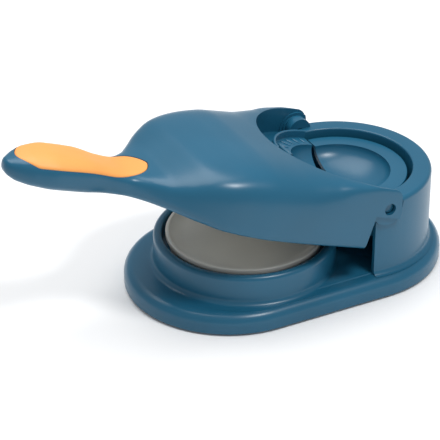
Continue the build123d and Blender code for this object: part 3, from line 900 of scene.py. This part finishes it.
def inlay_half_width(along, gap):
    """Half width of the inlay: a share of the handle's own, closed by a round nose at each end."""
    from_neck = min(1.0, max(0.0, (along - inlay_first + gap) / neck_nose))
    from_tip = min(1.0, max(0.0, (inlay_last + gap - along) / tip_nose))
    neck = (1 - (1 - from_neck) ** nose_power) ** neck_bluntness
    tip = (1 - (1 - from_tip) ** nose_power) ** tip_bluntness
    return (station_at(along)[0] * inlay_share + gap) * (neck * tip)


def lever_top(along, across):
    """Height of the lever's crown over a point of its plan."""
    half_width, _, _, widest, crest, squareness = station_at(along)
    share = min(abs(across) / half_width, 0.999)
    return widest + (crest - widest) * (1 - share**squareness) ** (1 / squareness)


def inlay_solid(name, gap, proud, depth, edge, rows=150, columns=40):
    """The inlay's form: its top stands `proud` of the crown, its back lies `depth` below the crown."""
    first, last = inlay_first - gap, inlay_last + gap
    stops = [(first + last) / 2 - (last - first) / 2 * cos(pi * i / rows) for i in range(1, rows)]
    rim = [(u, inlay_half_width(u, gap)) for u in stops]
    rim_points = np.array([(first, 0)] + rim + [(last, 0)] + [(u, -v) for u, v in rim])
    top, back = [], []
    for u, half in rim:
        for j in range(columns + 1):
            v = -half * cos(pi * j / columns)
            near = float(np.min(np.hypot(rim_points[:, 0] - u, rim_points[:, 1] - v)))
            drop = edge - sqrt(max(0.0, edge**2 - max(0.0, edge - near) ** 2)) if near < edge else 0.0
            height = lever_top(u, v)
            top.append((hinge_x - u, v, hinge_z + height + proud - drop))
            back.append((hinge_x - u, v, hinge_z + height - depth))
    width, count, offset = columns + 1, len(stops), len(top)
    faces = []
    for i in range(count - 1):
        for j in range(columns):
            a, b = i * width + j, (i + 1) * width + j
            faces.append((a, a + 1, b + 1, b))
            faces.append((offset + a, offset + b, offset + b + 1, offset + a + 1))
        for j in (0, columns):
            a, b = i * width + j, (i + 1) * width + j
            faces.append((a, b, offset + b, offset + a))
    for i in (0, count - 1):
        for j in range(columns):
            a = i * width + j
            faces.append((a, a + 1, offset + a + 1, offset + a))
    return solid(name, top + back, faces)


inlay = inlay_solid("grip_inlay", 0, 0.0, inlay_depth, inlay_edge)
bed = inlay_solid("inlay_bed", bed_gap, bed_height, bed_depth, 0.0)
combine(lever, bed, "DIFFERENCE")
smooth(dress(swing_up(inlay), orange_grip), soft_crease_angle)
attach(inlay, "lever")
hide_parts("grip_inlay")
smooth(dress(swing_up(lever), blue_plastic))
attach(lever, "lever")
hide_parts("lever_shell")

# ---- Upper press plate -------------------------------------------------------------------------
# White convex plate under the lever, held by four screws. It presses the dough into the lower plate.

press_gap = 1.3
upper_plate_radius = 38.4
upper_flat_radius = 30.0
upper_wall = 2.0
upper_edge = 0.6
press_rise = 4.6
upper_skirt_height = 4.0
upper_curve = range(8, 89, 8)
upper_screw_count = 4
upper_screw_circle = 27.0
screw_seat_radius = 2.85
screw_seat_depth = 1.6
upper_face = plate_top - plate_depth + press_gap
upper_rim = upper_face + press_rise
upper_plate = turned(
    "upper_press_plate",
    [(0, upper_face), (upper_flat_radius, upper_face)]
    + [
        (
            upper_flat_radius + (upper_plate_radius - upper_flat_radius) * sin(radians(a)),
            upper_face + press_rise * (1 - cos(radians(a))),
        )
        for a in upper_curve
    ]
    + rounded(
        [
            (upper_plate_radius, upper_rim, 0),
            (upper_plate_radius, upper_rim + upper_skirt_height, upper_edge),
            (upper_plate_radius - upper_wall, upper_rim + upper_skirt_height, upper_edge),
            (upper_plate_radius - upper_wall, upper_rim + upper_edge, 0),
            (upper_flat_radius - upper_edge, upper_face + upper_wall, 0),
            (0, upper_face + upper_wall, 0),
        ]
    ),
    cup_x,
)
for i in range(upper_screw_count):
    angle = radians(45 + 360 / upper_screw_count * i)
    seat_x, seat_y = cup_x + upper_screw_circle * cos(angle), upper_screw_circle * sin(angle)
    seat = raised(
        "screw_seat",
        circle(seat_x, seat_y, screw_seat_radius, 40),
        upper_face - through,
        upper_face + screw_seat_depth,
    )
    combine(upper_plate, seat, "DIFFERENCE")
smooth(dress(swing_up(upper_plate), white_plastic), soft_crease_angle)
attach(upper_plate, "lever")
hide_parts("upper_press_plate")

# ---- Front mould leaf --------------------------------------------------------------------------
# Moving half of the mould, in the lever's opening: a half bowl with crimping ridges on its rim, a
# raised collar that folds down round the other leaf, and a tab at the middle of the collar.

collar_radius = 37.9
collar_wall = 1.6
collar_height = 4.0
collar_edge = 0.75
tab_width = 11.4
tab_height = 6.2
tab_wall = 2.2
tab_root = 1.0
tab_edge = 0.5
tab_outer = 38.1
tab_half_angle = degrees(asin(tab_width / 2 / tab_outer))
front_leaf = half_leaf(
    "front_mould_leaf",
    collar_radius,
    hinge_z,
    channel_floor,
    -beyond,
    hinge_x - leaf_hinge_gap,
)
collar = turned(
    "collar",
    rounded(
        [
            (collar_radius - collar_wall, hinge_z - leaf_wall, 0),
            (collar_radius, hinge_z - leaf_wall, 0),
            (collar_radius, hinge_z + collar_height, collar_edge),
            (collar_radius - collar_wall, hinge_z + collar_height, collar_edge),
        ]
    ),
    hinge_x,
    steps=240,
)
combine(collar, slab("collar_room", -beyond, hinge_x - leaf_hinge_gap), "INTERSECT")
combine(front_leaf, collar, "UNION")
tab = turned(
    "tab",
    rounded(
        [
            (tab_outer - tab_wall, hinge_z - tab_root, 0),
            (tab_outer, hinge_z - tab_root, 0),
            (tab_outer, hinge_z + tab_height, tab_edge),
            (tab_outer - tab_wall, hinge_z + tab_height, tab_edge),
        ]
    ),
    hinge_x,
    start=180 - tab_half_angle,
    sweep=2 * tab_half_angle,
    steps=12,
)
combine(front_leaf, tab, "UNION")


def ridge_fan(name, count, middle_radius, length, width, height, span, material):
    """Geometry Nodes: rounded ridges set like rays along an arc, turned to point at its centre."""
    tree = bpy.data.node_groups.new(name, "GeometryNodeTree")
    sizes = {
        "Count": count,
        "Middle radius": middle_radius * MM,
        "Length": length * MM,
        "Width": width * MM,
        "Height": height * MM,
        "Span": radians(span),
    }
    sockets = {}
    for label, value in sizes.items():
        kind = "NodeSocketInt" if isinstance(value, int) else "NodeSocketFloat"
        sockets[label] = tree.interface.new_socket(label, in_out="INPUT", socket_type=kind).identifier
    tree.interface.new_socket("Geometry", in_out="OUTPUT", socket_type="NodeSocketGeometry")
    nodes, links = tree.nodes, tree.links
    given = nodes.new("NodeGroupInput").outputs
    ridge = nodes.new("GeometryNodeMeshUVSphere")
    ridge.inputs["Segments"].default_value = 24
    ridge.inputs["Rings"].default_value = 14
    ridge.inputs["Radius"].default_value = 0.5
    ridge_size = nodes.new("ShaderNodeCombineXYZ")
    for axis, label in zip("XYZ", ("Length", "Width", "Height")):
        links.new(given[label], ridge_size.inputs[axis])
    ridge_scaled = nodes.new("GeometryNodeTransform")
    links.new(ridge.outputs["Mesh"], ridge_scaled.inputs["Geometry"])
    links.new(ridge_size.outputs["Vector"], ridge_scaled.inputs["Scale"])
    line = nodes.new("GeometryNodeMeshLine")
    links.new(given["Count"], line.inputs["Count"])
    line.inputs["Offset"].default_value = (0, 0, 0)
    index = nodes.new("GeometryNodeInputIndex")

    def maths(operation, first, second):
        node = nodes.new("ShaderNodeMath")
        node.operation = operation
        for socket, value in zip(node.inputs, (first, second)):
            if isinstance(value, (int, float)):
                socket.default_value = value
            elif value is not None:
                links.new(value, socket)
        return node.outputs[0]

    gaps = maths("SUBTRACT", given["Count"], 1)
    share = maths("SUBTRACT", maths("DIVIDE", index.outputs[0], gaps), 0.5)
    angle = maths("ADD", maths("MULTIPLY", share, given["Span"]), pi)
    spot = nodes.new("ShaderNodeCombineXYZ")
    links.new(maths("MULTIPLY", maths("COSINE", angle, None), given["Middle radius"]), spot.inputs["X"])
    links.new(maths("MULTIPLY", maths("SINE", angle, None), given["Middle radius"]), spot.inputs["Y"])
    placed = nodes.new("GeometryNodeSetPosition")
    links.new(line.outputs["Mesh"], placed.inputs["Geometry"])
    links.new(spot.outputs["Vector"], placed.inputs["Position"])
    facing = nodes.new("ShaderNodeCombineXYZ")
    links.new(angle, facing.inputs["Z"])
    repeated = nodes.new("GeometryNodeInstanceOnPoints")
    links.new(placed.outputs["Geometry"], repeated.inputs["Points"])
    links.new(ridge_scaled.outputs["Geometry"], repeated.inputs["Instance"])
    links.new(facing.outputs["Vector"], repeated.inputs["Rotation"])
    realized = nodes.new("GeometryNodeRealizeInstances")
    links.new(repeated.outputs["Instances"], realized.inputs["Geometry"])
    coloured = nodes.new("GeometryNodeSetMaterial")
    coloured.inputs["Material"].default_value = material
    links.new(realized.outputs["Geometry"], coloured.inputs["Geometry"])
    links.new(coloured.outputs["Geometry"], nodes.new("NodeGroupOutput").inputs["Geometry"])
    carrier = bpy.data.objects.new(name, bpy.data.meshes.new(name))
    bpy.context.scene.collection.objects.link(carrier)
    modifier = carrier.modifiers.new(name, "NODES")
    modifier.node_group = tree
    for label, value in sizes.items():
        modifier[sockets[label]] = value
    mesh = bpy.data.meshes.new_from_object(carrier.evaluated_get(bpy.context.evaluated_depsgraph_get()))
    carrier.modifiers.clear()
    carrier.data = mesh
    return carrier


crimp_count = 17
crimp_height = 0.8
crimp_width = 1.7
crimp_span = 160.0
crimp_margin = 3.0
crimp_middle = (leaf_bowl_radius + collar_radius - collar_wall) / 2
crimp_length = collar_radius - collar_wall - leaf_bowl_radius - crimp_margin
ridges = ridge_fan(
    "crimp_ridges",
    crimp_count,
    crimp_middle,
    crimp_length,
    crimp_width,
    2 * crimp_height,
    crimp_span,
    blue_plastic,
)
ridges.data.transform(to_hinge)
smooth(swing_up(ridges))
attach(ridges, "lever")
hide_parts("front_mould_leaf")
smooth(dress(swing_up(front_leaf), blue_plastic))
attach(front_leaf, "lever")
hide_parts("front_mould_leaf")

# ---- Floor, light and camera -------------------------------------------------------------------
# A plain pale floor, a small key lamp for the highlights, a large soft lamp from above and a pale sky,
# as in a small product studio.

floor_half_size = 4.0
floor_mesh = bpy.data.meshes.new("floor")
floor_corners = box_outline(-floor_half_size, -floor_half_size, floor_half_size, floor_half_size)
floor_mesh.from_pydata([(x, y, 0) for x, y in floor_corners], [], [(0, 1, 2, 3)])
floor = bpy.data.objects.new("floor", floor_mesh)
bpy.context.scene.collection.objects.link(floor)
floor_white = bpy.data.materials.new("floor_white")
floor_white.use_nodes = True
floor_shader = floor_white.node_tree.nodes["Principled BSDF"]
floor_shader.inputs["Base Color"].default_value = (0.97, 0.97, 0.97, 1)
floor_shader.inputs["Roughness"].default_value = 0.9
floor_mesh.materials.append(floor_white)

world = bpy.data.worlds.new("studio")
bpy.context.scene.world = world
world.use_nodes = True
world.node_tree.nodes["Background"].inputs["Color"].default_value = (0.95, 0.97, 1.0, 1)
world.node_tree.nodes["Background"].inputs["Strength"].default_value = 0.45


def soft_lamp(name, place, target, width, power):
    """A square soft box aimed at a point."""
    lamp_data = bpy.data.lights.new(name, "AREA")
    lamp_data.shape = "RECTANGLE"
    lamp_data.size = lamp_data.size_y = width
    lamp_data.energy = power
    lamp = bpy.data.objects.new(name, lamp_data)
    bpy.context.scene.collection.objects.link(lamp)
    lamp.location = place
    lamp.rotation_euler = (Vector(target) - Vector(place)).to_track_quat("-Z", "Y").to_euler()
    return lamp


lamp_target = (0, 0, 0.03)
soft_lamp("key_lamp", (0.16, -0.42, 0.95), lamp_target, 0.2, 4.6)
soft_lamp("top_lamp", (-0.1, 0.35, 1.1), lamp_target, 0.9, 9.0)

# The camera was fitted to the photograph: it looks along `back` at the focus, and the picture is
# shifted by view_right and view_up metres across the view
view_azimuth = -27.7
view_elevation = 30.5
view_distance = 1.08036
view_focus_x = 0.040
view_focus_z = 0.025
view_right = -0.06916
view_up = -0.00786
focal_pixels = 2018.16
frame_pixels = 440
azimuth, elevation = radians(view_azimuth), radians(view_elevation)
back = Vector((sin(azimuth) * cos(elevation), -cos(azimuth) * cos(elevation), sin(elevation)))
right = Vector((cos(azimuth), sin(azimuth), 0))
upward = back.cross(right)
camera_data = bpy.data.cameras.new("camera")
camera = bpy.data.objects.new("camera", camera_data)
bpy.context.scene.collection.objects.link(camera)
focus = Vector((view_focus_x, 0, view_focus_z))
place = focus + right * view_right + upward * view_up + back * view_distance
turn = Matrix((right, upward, back)).transposed()
camera.matrix_world = Matrix.Translation(place) @ turn.to_4x4()
camera_data.sensor_width = 36
camera_data.lens = focal_pixels / frame_pixels * camera_data.sensor_width
camera_data.clip_end = 10
bpy.context.scene.camera = camera
bpy.context.scene.view_settings.view_transform = "Standard"

# ---- Scene update ------------------------------------------------------------------------------

bpy.context.view_layer.update()
